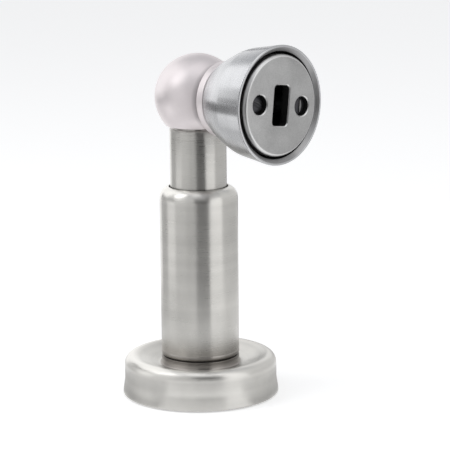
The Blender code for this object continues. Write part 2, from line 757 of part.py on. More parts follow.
def make_plate_screws(material):
    """Two slotted screws sunk in the plate. Their slots stand as they were left when tightened."""
    head_back, head_front = PLATE_SCREW_HEAD_X
    crown = 0.3 * MM
    outline = [
        (0, head_front),
        (PLATE_SCREW_HEAD_RADIUS * 0.6, head_front - crown * 0.3),
        (PLATE_SCREW_HEAD_RADIUS, head_front - crown),
        (PLATE_SCREW_HEAD_RADIUS, head_back),
        (PLATE_SCREW_RADIUS, head_back),
        (PLATE_SCREW_RADIUS, PLATE_SCREW_TIP_X + 0.5 * MM),
        (0, PLATE_SCREW_TIP_X),
    ]
    slot_turns = {"left": math.radians(62), "right": PLATE_TURN}
    for side, where in plate_screw_places().items():
        screw = turned(
            f"plate_screw_{side}", outline, material, segments=SMALL_ROUND, where=where, rotation=ALONG_X
        )
        middle = (head_front + 0.05 * MM, *where[1:])
        slot = box(
            f"cut_plate_screw_{side}",
            (1.0 * MM, 0.8 * MM, 8 * MM),
            **as_cutter(where=middle, rotation=(slot_turns[side], 0, 0)),
        )
        cut(screw, slot)


def main():
    clear_scene()
    satin_steel = metal("satin_steel", (0.62, 0.61, 0.58), 0.32)
    pearl_nickel = metal("pearl_nickel", (0.78, 0.74, 0.74), 0.38)
    keeper_steel = metal("keeper_steel", (0.60, 0.61, 0.62), 0.25)
    plate_steel = metal("plate_steel", (0.52, 0.52, 0.52), 0.35)
    zinc = metal("zinc", (0.55, 0.56, 0.57), 0.45)
    iron = metal("iron", (0.48, 0.48, 0.49), 0.35)
    spring_steel = metal("spring_steel", (0.45, 0.45, 0.46), 0.3)
    magnet_nickel = metal("magnet_nickel", (0.66, 0.66, 0.68), 0.2)
    black_oxide = metal("black_oxide", (0.06, 0.06, 0.065), 0.4)
    black_nylon = plastic("black_nylon", (0.02, 0.02, 0.02), 0.5)

    make_floor_plate(zinc)
    make_stud_and_nut(zinc)
    make_base_cover(satin_steel)

    make_foot_collar(satin_steel)
    make_post_sleeve(satin_steel)
    make_guide_bush(black_nylon)
    sleeve_side = {"where": (0, 0, LOCK_SCREW_Z), "rotation": (0, -math.pi / 2, 0)}
    grub_screw(
        "lock_screw",
        LOCK_SCREW_RADIUS,
        TUBE_RADIUS + GAP,
        SLEEVE_RADIUS - 0.2 * MM,
        black_oxide,
        **sleeve_side,
    )
    make_post_tube(satin_steel)
    make_tube_foot(black_nylon)
    make_tube_plug(satin_steel)
    make_spring_washer(spring_steel)

    make_swivel_bolt(zinc)
    make_head_ball(pearl_nickel)
    make_magnet(zinc, magnet_nickel, zinc)

    make_nose_ring(pearl_nickel)
    make_striker(iron, spring_steel)
    make_striker_spring(spring_steel)
    make_keeper_housing(keeper_steel)
    make_keeper_core(black_nylon)
    underside = {"where": (HOUSING_SCREW_X, 0, BALL_Z), "rotation": DOWNWARDS}
    grub_screw("housing_screw", HOUSING_SCREW_RADIUS, 13.5 * MM, 16.8 * MM, black_oxide, **underside)
    make_mounting_plate(plate_steel)
    make_plate_screws(black_oxide)


main()
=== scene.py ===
"""The looks of the floor door holder: fine surfaces, finishes, studio light and camera, built around
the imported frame. Places and outer sizes come from the frame. Lengths are in metres."""

import json
import math

import bmesh
import bpy
from mathutils import Matrix, Vector


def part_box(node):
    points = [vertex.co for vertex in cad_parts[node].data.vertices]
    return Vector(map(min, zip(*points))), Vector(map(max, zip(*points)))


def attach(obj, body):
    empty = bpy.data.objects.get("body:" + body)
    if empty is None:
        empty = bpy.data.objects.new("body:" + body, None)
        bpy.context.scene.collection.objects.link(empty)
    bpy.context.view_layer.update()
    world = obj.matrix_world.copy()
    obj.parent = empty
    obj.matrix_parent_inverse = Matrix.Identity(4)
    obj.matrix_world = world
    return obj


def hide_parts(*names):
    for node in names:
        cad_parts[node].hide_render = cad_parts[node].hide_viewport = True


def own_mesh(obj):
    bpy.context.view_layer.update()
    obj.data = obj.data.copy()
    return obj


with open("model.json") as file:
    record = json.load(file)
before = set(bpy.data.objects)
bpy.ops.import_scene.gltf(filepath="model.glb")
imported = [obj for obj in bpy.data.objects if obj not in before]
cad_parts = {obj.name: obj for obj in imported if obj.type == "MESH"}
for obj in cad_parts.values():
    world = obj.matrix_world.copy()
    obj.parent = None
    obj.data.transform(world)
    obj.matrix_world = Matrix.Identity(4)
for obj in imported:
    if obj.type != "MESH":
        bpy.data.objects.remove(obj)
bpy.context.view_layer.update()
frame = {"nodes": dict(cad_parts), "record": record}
BODY_OF = {node: body for body, nodes in frame["record"]["behaviour"]["bodies"].items() for node in nodes}
SLOT_OF = {part["node"]: part["material_slot"] for part in frame["record"]["subparts"]}

MM = 0.001
ROUND = 128  # segments of a turned piece
SMALL_ROUND = 64  # segments of a screw
CUT_ROUND = 48  # segments of a cutter

# The camera, and the direction it looks in, seen from above
CAMERA_PLACE = (0.4079, -0.3931, 0.1675)
CAMERA_HEADING = math.radians(45.219)
CAMERA_PITCH = math.radians(11.263)
CAMERA_ROLL = math.radians(-0.555)
CAMERA_LENS = 144.87  # millimetres

GAP = 0.3 * MM  # between pieces that meet
PLUG_FLANGE = 0.8 * MM
DISH_DEPTH = 2.7 * MM  # the base cover's flat middle lies this far under its crest
KEEPER_Z = sum(corner.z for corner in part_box("keeper_housing")) / 2  # height of the keeper's axis

# Surface texture
ACROSS_LINES = 0.25  # a quarter turn: a turned surface blurs reflections across its lines
LINE_DRIFT = 1.3  # how much turned lines change on their way round
BAND_SCALE = 0.06  # how close broad bands of tone lie, where fine lines have 1
CLOUD_SCALE = 90.0  # per metre, and so are the three after it
SPECK_SCALE = 2600.0
PLATING_CLOUD_SCALE = 120.0
FIBRE_SCALE = 900.0  # of the studio floor
FULL_TINT = 0.3  # a tint is at full strength within this share of its reach

# A carved piece's materials after its first
# painted shade: near-black in bores, slots and sinks
INSIDE_SHADE_INDEX = 1
# painted highlight on the plate's edges, painted shade on the bell's funnel
PAINTED_EDGE_INDEX = 2
LIP_HIGHLIGHT_INDEX = 1  # painted highlight on a plate screw's slot lips


# Nodes and materials


class Nodes:
    """Short calls for building a node tree."""

    def __init__(self, tree):
        self.tree = tree

    def add(self, kind, **settings):
        node = self.tree.nodes.new(kind)
        for name, value in settings.items():
            setattr(node, name, value)
        return node

    def link(self, source, target):
        self.tree.links.new(source, target)

    def put(self, value, socket):
        """Links the value, if it is another node's output, or else sets it."""
        if isinstance(value, bpy.types.NodeSocket):
            self.link(value, socket)
        else:
            socket.default_value = value

    def feed(self, node, **inputs):
        """Sets or links a node's inputs by name, with _ for each space."""
        for name, value in inputs.items():
            self.put(value, node.inputs[name.replace("_", " ")])
        return node

    def math(self, operation, a, b=0.0):
        node = self.add("ShaderNodeMath", operation=operation)
        self.put(a, node.inputs[0])
        self.put(b, node.inputs[1])
        return node.outputs[0]

    def noise(self, vector, scale, detail=3.0, roughness=0.5, w=None):
        node = self.add("ShaderNodeTexNoise", noise_dimensions="3D" if w is None else "4D")
        self.feed(node, Vector=vector, Scale=scale, Detail=detail, Roughness=roughness)
        if w is not None:
            self.link(w, node.inputs["W"])
        return node.outputs["Fac"]

    def spread(self, value, low, high, from_low=0.3, from_high=0.7):
        """Maps a noise value, which is mostly near a half, to the range low to high."""
        node = self.add("ShaderNodeMapRange")
        self.feed(node, Value=value, From_Min=from_low, From_Max=from_high, To_Min=low, To_Max=high)
        return node.outputs["Result"]

    def between(self, amount, first, second):
        """Mixes two colours, each a colour or another node's output."""
        node = self.add("ShaderNodeMix", data_type="RGBA")
        self.link(amount, node.inputs["Factor"])
        for name, colour in (("A", first), ("B", second)):
            socket = [s for s in node.inputs if s.name == name and s.type == "RGBA"][0]
            self.put(colour if isinstance(colour, bpy.types.NodeSocket) else (*colour, 1), socket)
        return [s for s in node.outputs if s.type == "RGBA"][0]

    def tint_near(self, distance, reach, base, tint):
        """The tint where the distance is small, which fades into the base at its reach."""
        near = self.spread(distance, 1.0, 0.0, from_low=reach * FULL_TINT, from_high=reach)
        return self.between(near, base, tint)

    def bump(self, height, distance, normal=None):
        node = self.add("ShaderNodeBump")
        self.feed(node, Height=height, Distance=distance, Strength=1.0)
        if normal is not None:
            self.link(normal, node.inputs["Normal"])
        return node.outputs["Normal"]


def new_material(name):
    material = bpy.data.materials.new(name)
    material.use_nodes = True
    return material, Nodes(material.node_tree), material.node_tree.nodes["Principled BSDF"]


def shade(colour, factor):
    return tuple(min(1.0, c * factor) for c in colour)


def turned_metal(
    name, colour, roughness, line=0.25 * MM, depth=0.006 * MM, contrast=0.08, rub=0.2, stretch=0.8, rings=()
):
    """Metal turned or brushed round its own Z axis, with fine lines that follow the turning. Contrast is
    how much its colour varies, rub how much its roughness does, and stretch how far it draws reflections
    out across its lines. Each ring is a painted highlight or a painted shade in the colour: its radius
    and height, how far it reaches, and its colour."""
    material, nodes, shader = new_material(name)
    place = nodes.add("ShaderNodeTexCoord").outputs["Object"]
    xyz = nodes.add("ShaderNodeSeparateXYZ")
    nodes.link(place, xyz.inputs[0])
    x, y, z = xyz.outputs
    radius = nodes.math("SQRT", nodes.math("ADD", nodes.math("MULTIPLY", x, x), nodes.math("MULTIPLY", y, y)))
    safe = nodes.math("MAXIMUM", radius, 1e-5)
    across = nodes.add("ShaderNodeCombineXYZ")
    nodes.feed(
        across,
        X=nodes.math("DIVIDE", radius, line),
        Y=nodes.math("DIVIDE", z, line),
        Z=nodes.math("MULTIPLY", nodes.math("DIVIDE", x, safe), LINE_DRIFT),
    )
    around = nodes.math("MULTIPLY", nodes.math("DIVIDE", y, safe), LINE_DRIFT)
    lines = nodes.noise(across.outputs[0], 1.0, detail=4.0, roughness=0.65, w=around)
    bands = nodes.noise(across.outputs[0], BAND_SCALE, detail=2.0, w=around)
    clouds = nodes.noise(place, CLOUD_SCALE, detail=3.0)
    specks = nodes.noise(place, SPECK_SCALE, detail=2.0)

    tone = nodes.math("ADD", nodes.math("MULTIPLY", bands, 0.5), nodes.math("MULTIPLY", clouds, 0.5))
    dark, light = shade(colour, 1 - contrast), shade(colour, 1 + contrast)
    tinted = nodes.between(nodes.spread(tone, 0.0, 1.0), dark, light)
    # Painted highlight or painted shade, as each ring gives: the colour turns to the ring's tint near it
    for ring_radius, ring_height, reach, tint in rings:
        away = nodes.math("SUBTRACT", radius, ring_radius)
        up = nodes.math("SUBTRACT", z, ring_height)
        square = nodes.math("ADD", nodes.math("MULTIPLY", away, away), nodes.math("MULTIPLY", up, up))
        tinted = nodes.tint_near(nodes.math("SQRT", square), reach, tinted, tint)
    nodes.link(tinted, shader.inputs["Base Color"])
    rubbed = nodes.math("ADD", nodes.math("MULTIPLY", lines, 0.7), nodes.math("MULTIPLY", clouds, 0.3))
    nodes.link(nodes.spread(rubbed, roughness * (1 - rub), roughness * (1 + rub)), shader.inputs["Roughness"])
    fine = nodes.bump(lines, depth)
    nodes.link(nodes.bump(specks, depth * 0.4, normal=fine), shader.inputs["Normal"])
    tangent = nodes.add("ShaderNodeTangent", direction_type="RADIAL", axis="Z")
    nodes.link(tangent.outputs[0], shader.inputs["Tangent"])
    shader.inputs["Anisotropic"].default_value = stretch
    shader.inputs["Anisotropic Rotation"].default_value = ACROSS_LINES
    shader.inputs["Metallic"].default_value = 1.0
    return material


def grained(name, colour, roughness, metallic, grain=0.3 * MM, depth=0.01 * MM, contrast=0.08, crease=None):
    """An even finish: plating, blasting, oxide or a moulded surface, by its grain size and depth. A
    crease is a band of painted shade: its X, how far it reaches, and its colour."""
    material, nodes, shader = new_material(name)
    place = nodes.add("ShaderNodeTexCoord").outputs["Object"]
    grains = nodes.noise(place, 1.0 / grain, detail=3.0, roughness=0.6)
    clouds = nodes.noise(place, PLATING_CLOUD_SCALE, detail=4.0)
    dark, light = shade(colour, 1 - contrast), shade(colour, 1 + contrast)
    mixed = nodes.math("ADD", nodes.math("MULTIPLY", grains, 0.5), nodes.math("MULTIPLY", clouds, 0.5))
    tinted = nodes.between(nodes.spread(mixed, 0.0, 1.0), dark, light)
    # Painted shade: darker near the crease's X
    if crease is not None:
        middle, reach, crease_shade = crease
        xyz = nodes.add("ShaderNodeSeparateXYZ")
        nodes.link(place, xyz.inputs[0])
        away = nodes.math("ABSOLUTE", nodes.math("SUBTRACT", xyz.outputs[0], middle))
        tinted = nodes.tint_near(away, reach, tinted, crease_shade)
    nodes.link(tinted, shader.inputs["Base Color"])
    nodes.link(nodes.spread(mixed, roughness * 0.8, roughness * 1.25), shader.inputs["Roughness"])
    nodes.link(nodes.bump(grains, depth), shader.inputs["Normal"])
    shader.inputs["Metallic"].default_value = metallic
    return material


SATIN_COLOUR = (0.60, 0.59, 0.565)
# The satin colour made lighter: a painted highlight
PAINTED_HIGHLIGHT = shade(SATIN_COLOUR, 1.3)
# Darker tones for painted shade
SHADE_TONE = (0.47, 0.45, 0.425)
DEEP_SHADE_TONE = (0.19, 0.175, 0.16)
PEARL_COLOUR = (0.81, 0.755, 0.765)

# Rings of painted highlight or painted shade on the turned pieces: radius, height, reach and colour
CREST_HIGHLIGHT = (23.0 * MM, 12.2 * MM, 3.4 * MM, PAINTED_HIGHLIGHT)  # painted highlight on the base cover's crest
SHOULDER_HIGHLIGHT = (11.4 * MM, 66.5 * MM, 4.0 * MM, PAINTED_HIGHLIGHT)  # painted highlight on the sleeve's shoulder
FOOT_SHADE = (12.5 * MM, 13.0 * MM, 7.0 * MM, SHADE_TONE)  # painted shade on the sleeve's lower end
SEAM_SHADE = (12.5 * MM, 12.85 * MM, 1.7 * MM, DEEP_SHADE_TONE)  # painted shade along the seam between the sleeve and the collar

# Painted shade on the ball, in the crease where it meets the nose ring: X, reach and colour
BALL_CREASE_SHADE = (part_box("head_ball")[1].x, 2.4 * MM, (0.33, 0.31, 0.32))

SATIN = turned_metal("satin_steel", SATIN_COLOUR, 0.30)
# The cover's colour has the painted highlight on its crest
COVER = turned_metal(
    "cover_steel", SATIN_COLOUR, 0.33, depth=0.009 * MM, contrast=0.16, stretch=0.6, rings=(CREST_HIGHLIGHT,)
)
# Painted highlight on the sleeve's shoulder; painted shade at its foot and along the seam to the collar
SLEEVE = turned_metal("sleeve_steel", SATIN_COLOUR, 0.30, contrast=0.12, rings=(SHOULDER_HIGHLIGHT, FOOT_SHADE, SEAM_SHADE))
COLLAR = turned_metal("darker_satin", (0.40, 0.375, 0.355), 0.34, rings=(SEAM_SHADE,))
KEEPER = turned_metal("keeper_steel", (0.62, 0.625, 0.64), 0.27, depth=0.001 * MM, rub=0.05)
# Painted shade: the bell's metal made darker, for the funnel inside its rim
FUNNEL_SHADE = turned_metal("rim_steel_painted_shade", (0.37, 0.37, 0.375), 0.3, depth=0.002 * MM)
# Painted shade: near-black metal for the bell's bore and the plate's slot and sinks, where shade falls
INSIDE_SHADE = grained("painted_inside_shade", (0.035, 0.035, 0.035), 0.6, 0.8, contrast=0.2)
PEARL = grained("pearl_nickel", PEARL_COLOUR, 0.42, 0.6, grain=0.15 * MM, depth=0.002 * MM, contrast=0.04)
BALL = grained(
    "ball_nickel",
    PEARL_COLOUR,
    0.4,
    0.6,
    grain=0.15 * MM,
    depth=0.002 * MM,
    contrast=0.04,
    crease=BALL_CREASE_SHADE,
)
PLATE = grained(
    "plate_steel", (0.45, 0.45, 0.45), 0.36, 1.0, grain=0.35 * MM, depth=0.005 * MM, contrast=0.22
)
ZINC = grained("zinc", (0.55, 0.56, 0.57), 0.45, 1.0, grain=0.4 * MM)
IRON = turned_metal("iron", (0.50, 0.50, 0.51), 0.33, line=0.3 * MM)
SPRING = grained("spring_steel", (0.50, 0.50, 0.52), 0.28, 1.0, depth=0.003 * MM)
MAGNET = grained("magnet_nickel", (0.66, 0.66, 0.68), 0.18, 1.0, depth=0.002 * MM)
OXIDE = grained("black_oxide", (0.055, 0.055, 0.06), 0.38, 0.9, depth=0.004 * MM, contrast=0.2)
# A painted highlight: bright metal for the plate's edges and chamfers and the right screw's slot lips
EDGE_HIGHLIGHT = grained("painted_edge_highlight", (0.72, 0.72, 0.72), 0.35, 1.0, depth=0.002 * MM)
# A faint painted highlight: black oxide made lighter, for the left screw's slot lips
OXIDE_HIGHLIGHT = grained("oxide_painted_highlight", (0.15, 0.15, 0.155), 0.3, 0.9, depth=0.004 * MM, contrast=0.2)
NYLON = grained("black_nylon", (0.018, 0.018, 0.019), 0.5, 0.0, grain=0.2 * MM, depth=0.006 * MM)
FINISHES = {
    "satin_steel": SATIN,
    "keeper_steel": KEEPER,
    "pearl_nickel": PEARL,
    "plate_steel": PLATE,
    "zinc": ZINC,
    "iron": IRON,
    "spring_steel": SPRING,
    "magnet_nickel": MAGNET,
    "black_oxide": OXIDE,
    "black_nylon": NYLON,
}


# Outlines. Corners are (radius, height, rounding radius); heights run along the piece's own Z axis.


def arc(centre, radius, start_deg, end_deg, steps, rise=None):
    """Points about centre, from one angle to the other. With a rise the circle becomes an ellipse."""
    if rise is None:
        rise = radius
    angles = [math.radians(start_deg + (end_deg - start_deg) * i / steps) for i in range(steps + 1)]
    return [(centre[0] + radius * math.cos(a), centre[1] + rise * math.sin(a)) for a in angles]


def bezier(p0, p1, p2, p3, steps):
    points = []
    for i in range(steps + 1):
        t = i / steps
        weights = ((1 - t) ** 3, 3 * t * (1 - t) ** 2, 3 * t**2 * (1 - t), t**3)
        points.append(tuple(sum(w * p[k] for w, p in zip(weights, (p0, p1, p2, p3))) for k in (0, 1)))
    return points


def rounded(corners, closed=True, steps=6):
    """The outline through the corners, each rounded by its own radius, if it has one."""
    points = []
    count = len(corners)
    for i, corner in enumerate(corners):
        here = Vector(corner[:2])
        radius = corner[2] if len(corner) > 2 else 0
        if radius == 0 or (not closed and i in (0, count - 1)):
            points.append(tuple(here))
            continue
        before = (Vector(corners[i - 1][:2]) - here).normalized()
        after = (Vector(corners[(i + 1) % count][:2]) - here).normalized()
        half = before.angle(after) / 2
        centre = here + (before + after).normalized() * radius / math.sin(half)
        first = here + before * radius / math.tan(half) - centre
        last = here + after * radius / math.tan(half) - centre
        turn = math.atan2(first.x * last.y - first.y * last.x, first.dot(last))
        start = math.atan2(first.y, first.x)
        for k in range(steps + 1):
            angle = start + turn * k / steps
            points.append((centre.x + radius * math.cos(angle), centre.y + radius * math.sin(angle)))
    return points


# Solids


def add_piece(name, mesh, material, place=Matrix.Identity(4)):
    piece = bpy.data.objects.new(name, mesh)
    bpy.context.scene.collection.objects.link(piece)
    piece.matrix_world = place
    if material is not None:
        mesh.materials.append(material)
    return piece


def on_keeper_axis(x=0.0):
    """The piece's own Z axis lies on the keeper's axis and points along +X."""
    return Matrix.Translation((x, 0, KEEPER_Z)) @ Matrix.Rotation(math.pi / 2, 4, "Y")


def shade_by_angle(mesh, degrees=32):
    mesh.shade_smooth()
    mesh.set_sharp_from_angle(angle=math.radians(degrees))


def turned_mesh(name, outline, closed, segments):
    mesh = bpy.data.meshes.new(name)
    shape = bmesh.new()
    rings = []
    for radius, height in outline:
        if radius < 1e-7:
            rings.append([shape.verts.new((0, 0, height))])
            continue
        angles = [math.tau * k / segments for k in range(segments)]
        rings.append([shape.verts.new((radius * math.cos(a), radius * math.sin(a), height)) for a in angles])
    pairs = list(zip(rings, rings[1:])) + ([(rings[-1], rings[0])] if closed else [])
    for upper, lower in pairs:
        for k in range(segments):
            after = (k + 1) % segments
            face = [upper[k % len(upper)], lower[k % len(lower)]]
            face += [lower[after % len(lower)], upper[after % len(upper)]]
            unique = list(dict.fromkeys(face))
            if len(unique) > 2:
                shape.faces.new(unique)
    bmesh.ops.recalc_face_normals(shape, faces=shape.faces)
    shape.to_mesh(mesh)
    shape.free()
    shade_by_angle(mesh)
    return mesh


def turned(name, outline, material, closed=True, segments=ROUND, place=Matrix.Identity(4)):
    return add_piece(name, turned_mesh(name, outline, closed, segments), material, place)


def box_mesh(name, size):
    mesh = bpy.data.meshes.new(name)
    shape = bmesh.new()
    bmesh.ops.create_cube(shape, size=1.0)
    bmesh.ops.scale(shape, verts=shape.verts, vec=size)
    shape.to_mesh(mesh)
    shape.free()
    return mesh


def prism_mesh(name, radius, height, sides):
    mesh = bpy.data.meshes.new(name)
    shape = bmesh.new()
    bmesh.ops.create_cone(shape, cap_ends=True, segments=sides, radius1=radius, radius2=radius, depth=height)
    shape.to_mesh(mesh)
    shape.free()
    return mesh


def carve(piece, cutters):
    """Cuts each cutter out of the piece, leaving a finished mesh, and removes the cutters."""
    for cutter in cutters:
        modifier = piece.modifiers.new("Cut", "BOOLEAN")
        modifier.operation = "DIFFERENCE"
        modifier.object = cutter
        modifier.solver = "EXACT"
    settle(piece)
    for cutter in cutters:
        bpy.data.objects.remove(cutter)
    shade_by_angle(piece.data)
    return piece


def settle(piece):
    """Replaces the piece's mesh by what its modifiers make of it."""
    bpy.context.view_layer.update()
    graph = bpy.context.evaluated_depsgraph_get()
    mesh = bpy.data.meshes.new_from_object(piece.evaluated_get(graph))
    piece.modifiers.clear()
    piece.data = mesh


def stand_for(piece, node):
    """The piece takes the node's place and body, and the node is hidden."""
    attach(piece, BODY_OF[node])
    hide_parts(node)


# Base


def make_base_cover():
    """A pressed cover: a flat middle, a slope up to the rounded crest, and a flared skirt."""
    low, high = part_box("base_cover")
    sheet = 1.0 * MM
    foot, crest = low.z, high.z
    radius = high.x
    skirt = radius - 0.7 * MM
    flare = 5.0 * MM
    roll = 2.8 * MM
    slope_deg = 19
    middle = crest - DISH_DEPTH
    flat = 13.4 * MM
    hole = 6.6 * MM
    centre = (skirt - roll, crest - roll)
    start = 90 + slope_deg
    slope_top = arc(centre, roll, start, 0, 1)[0]
    outer = rounded([(hole, middle, 0.2 * MM), (flat, middle, 4 * MM), slope_top], steps=8)
    outline = outer[:-1] + arc(centre, roll, start, 0, 20)[:-1]
    outline += rounded(
        [
            (skirt, crest - roll),
            (skirt, flare, 12 * MM),
            (radius, foot, 0.35 * MM),
            (radius - sheet, foot, 0.35 * MM),
            (skirt - sheet, flare, 12 * MM),
            (skirt - sheet, crest - roll),
        ],
        closed=False,
        steps=8,
    )[:-1]
    outline += arc(centre, roll - sheet, 0, start, 12)
    outline += [(flat + 0.2 * MM, middle - sheet), (hole, middle - sheet)]
    stand_for(turned("cover_shell", outline, COVER), "base_cover")


def make_foot_collar():
    """The dark ring under the sleeve, with fine turned grooves and a hollow curve down to its foot."""
    low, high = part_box("foot_collar")
    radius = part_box("post_sleeve")[1].x
    foot = radius + 0.5 * MM
    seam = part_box("post_sleeve")[0].z - GAP
    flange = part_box("base_cover")[1].z - DISH_DEPTH + 0.03 * MM
    spigot = radius - 1.5 * MM
    bore = 4.3 * MM
    boss = 6.3 * MM
    rise = 1.2 * MM
    groove = 0.07 * MM
    chamfer = 0.2 * MM
    outline = rounded(
        [
            (bore, high.z),
            (spigot, high.z, 0.3 * MM),
            (spigot, seam),
            (radius, seam, 0.45 * MM),
            (radius, flange + rise),
        ],
        closed=False,
    )[:-1]
    for below in (0.7 * MM, 1.0 * MM):
        line = seam - below
        outline += [(radius, line + groove), (radius - groove, line), (radius, line - groove)]
    outline += arc((foot, flange + rise), foot - radius, 180, 270, 10, rise=rise - 0.1 * MM)
    outline += [(foot, flange), (boss, flange)]
    outline += [(boss, low.z + chamfer), (boss - chamfer, low.z), (bore, low.z)]
    stand_for(turned("collar", outline, COLLAR), "foot_collar")


# Post


def make_sleeve():
    """The outer tube: its top rolls inwards, and its lower end has a faint turned line."""
    low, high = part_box("post_sleeve")
    radius = high.x
    wall = 1.2 * MM
    line = low.z + 1.5 * MM
    half_line = 0.1 * MM
    reach, rise = 3.0 * MM, 4.0 * MM
    centre = (radius - reach, high.z - rise)
    outline = arc(centre, reach, 90, 0, 18, rise=rise)
    outline += rounded(
        [
            (radius, high.z - rise),
            (radius, line + half_line),
            (radius - 0.03 * MM, line),
            (radius, line - half_line),
            (radius, low.z, 0.5 * MM),
            (radius - wall, low.z, 0.2 * MM),
            (radius - wall, high.z - rise),
        ],
        closed=False,
    )[1:-1]
    outline += arc(centre, reach - wall, 0, 90, 12, rise=rise - wall)
    sleeve = turned("sleeve", outline, SLEEVE)
    low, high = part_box("lock_screw")
    hole = add_piece("cut", prism_mesh("cut", 2.3 * MM, 6 * MM, CUT_ROUND), None)
    middle = Vector((low.x, 0, (low.z + high.z) / 2))
    hole.matrix_world = Matrix.Translation(middle) @ Matrix.Rotation(math.pi / 2, 4, "Y")
    stand_for(carve(sleeve, [hole]), "post_sleeve")


def make_tube():
    """The thinner tube, with two fine grooves under its upper end."""
    low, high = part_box("post_tube")
    radius = high.x
    wall = 1.0 * MM
    groove = 0.05 * MM
    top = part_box("tube_plug")[1].z - PLUG_FLANGE - 0.03 * MM  # just under the plug's flange
    corners = [(radius - wall, top, 0.1 * MM), (radius, top, 0.1 * MM)]
    for below in (0.9 * MM, 2.7 * MM):
        line = top - below
        corners += [
            (radius, line + groove),
            (radius - groove, line + groove * 0.4),
            (radius - groove, line - groove * 0.4),
            (radius, line - groove),
        ]
    corners += [(radius, low.z, 0.15 * MM), (radius - wall, low.z, 0.1 * MM)]
    stand_for(turned("tube", rounded(corners), SATIN), "post_tube")


def make_tube_plug():
    """The plug in the tube's top, with a narrower neck that makes the dark seam under the ball."""
    low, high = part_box("tube_plug")
    radius = high.x
    flange = PLUG_FLANGE
    spigot = radius - 1.3 * MM
    bore = 3.3 * MM
    neck = radius - 1.1 * MM
    shoulder = high.z - 0.5 * MM
    corners = [
        (neck, high.z, 0.1 * MM),
        (neck, shoulder),
        (radius, shoulder, 0.12 * MM),
        (radius, high.z - flange, 0.12 * MM),
        (spigot, high.z - flange),
        (spigot, low.z, 0.4 * MM),
        (bore, low.z, 0.2 * MM),
        (bore, high.z, 0.2 * MM),
    ]
    stand_for(turned("plug", rounded(corners), SATIN), "tube_plug")


def grub(name, node, radius, place, length):
    """A headless screw with a hexagon socket in its upper end."""
    top, bottom = length / 2, -length / 2
    socket_radius = radius * 0.55
    corners = [(0, top), (radius, top, 0.25 * MM), (radius, bottom, 0.3 * MM), (0, bottom)]
    outline = rounded(corners, closed=False)
    screw = turned(name, outline, OXIDE, closed=False, segments=SMALL_ROUND, place=place)
    socket = add_piece("cut", prism_mesh("cut", socket_radius, 2 * radius, 6), None)
    socket.matrix_world = place @ Matrix.Translation((0, 0, top))
    stand_for(carve(screw, [socket]), node)


def make_grub_screws():
    low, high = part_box("lock_screw")
    place = Matrix.Translation((low + high) / 2) @ Matrix.Rotation(-math.pi / 2, 4, "Y")
    grub("height_grub", "lock_screw", (high.z - low.z) / 2, place, high.x - low.x)
    low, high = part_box("housing_screw")
    place = Matrix.Translation((low + high) / 2) @ Matrix.Rotation(math.pi, 4, "X")
    grub("housing_grub", "housing_screw", (high.x - low.x) / 2, place, high.z - low.z)


# Head


def make_ball():
    """The ball, with a bore from below for the bolt, and a flat face with the magnet's pocket."""
    low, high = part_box("head_ball")
    radius = high.z - KEEPER_Z
    seat = math.degrees(math.asin((low.z - KEEPER_Z) / radius))
    bore = 3.3 * MM
    bore_top = 92.5 * MM
    outline = [(0, KEEPER_Z + radius)] + arc((0, KEEPER_Z), radius, 90, seat, 72)[1:]
    outline += [(bore, low.z), (bore, bore_top), (0, bore_top)]
    ball = turned("ball", outline, BALL, closed=False, segments=160)
    face = high.x
    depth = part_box("magnet_cup")[0].x - GAP
    pocket = 7.4 * MM
    reach = 20 * MM
    edge = 0.35 * MM
    lip = [
        (0, reach),
        (reach, reach),
        (reach, 0),
        (pocket + edge, 0),
        (pocket, -edge),
        (pocket, depth - face),
        (0, depth - face),
    ]
    cutter = turned("cut", lip, None, closed=False, place=on_keeper_axis(face))
    hole = add_piece("cut", prism_mesh("cut", 1.8 * MM, 6 * MM, CUT_ROUND), None, on_keeper_axis(4.2 * MM))
    stand_for(carve(ball, [cutter, hole]), "head_ball")


def make_magnet():
    """The steel cup, the ring magnet in it and the slotted screw that holds both."""
    low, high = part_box("magnet_cup")
    radius = high.z - KEEPER_Z
    back, face = low.x, high.x
    floor = back + 1.2 * MM
    inner = radius - 0.9 * MM
    bore = 1.8 * MM
    cup = [
        (radius, face, 0.25 * MM),
        (radius, back, 0.3 * MM),
        (bore, back),
        (bore, floor),
        (inner, floor, 0.2 * MM),
        (inner, face, 0.15 * MM),
    ]
    stand_for(turned("pot", rounded(cup), ZINC, place=on_keeper_axis()), "magnet_cup")

    low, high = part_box("magnet")
    radius = high.z - KEEPER_Z
    ring = [
        (radius, high.x, 0.2 * MM),
        (radius, low.x, 0.2 * MM),
        (bore, low.x),
        (bore, low.x + 0.6 * MM),
        (3.6 * MM, high.x, 0.1 * MM),
    ]
    stand_for(turned("magnet_ring", rounded(ring), MAGNET, place=on_keeper_axis()), "magnet")

    low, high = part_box("magnet_screw")
    head, shank = 2.9 * MM, 1.5 * MM
    screw = [
        (0, high.x),
        (head, high.x, 0.06 * MM),
        (head, high.x - 0.2 * MM),
        (shank, high.x - 1.9 * MM),
        (shank, low.x, 0.4 * MM),
        (0, low.x),
    ]
    piece = turned(
        "countersunk_screw",
        rounded(screw, closed=False),
        ZINC,
        closed=False,
        segments=SMALL_ROUND,
        place=on_keeper_axis(),
    )
    slot = add_piece("cut", box_mesh("cut", (1.2 * MM, 0.8 * MM, 8 * MM)), None)
    slot.matrix_world = Matrix.Translation((high.x, 0, KEEPER_Z))
    stand_for(carve(piece, [slot]), "magnet_screw")


# Keeper


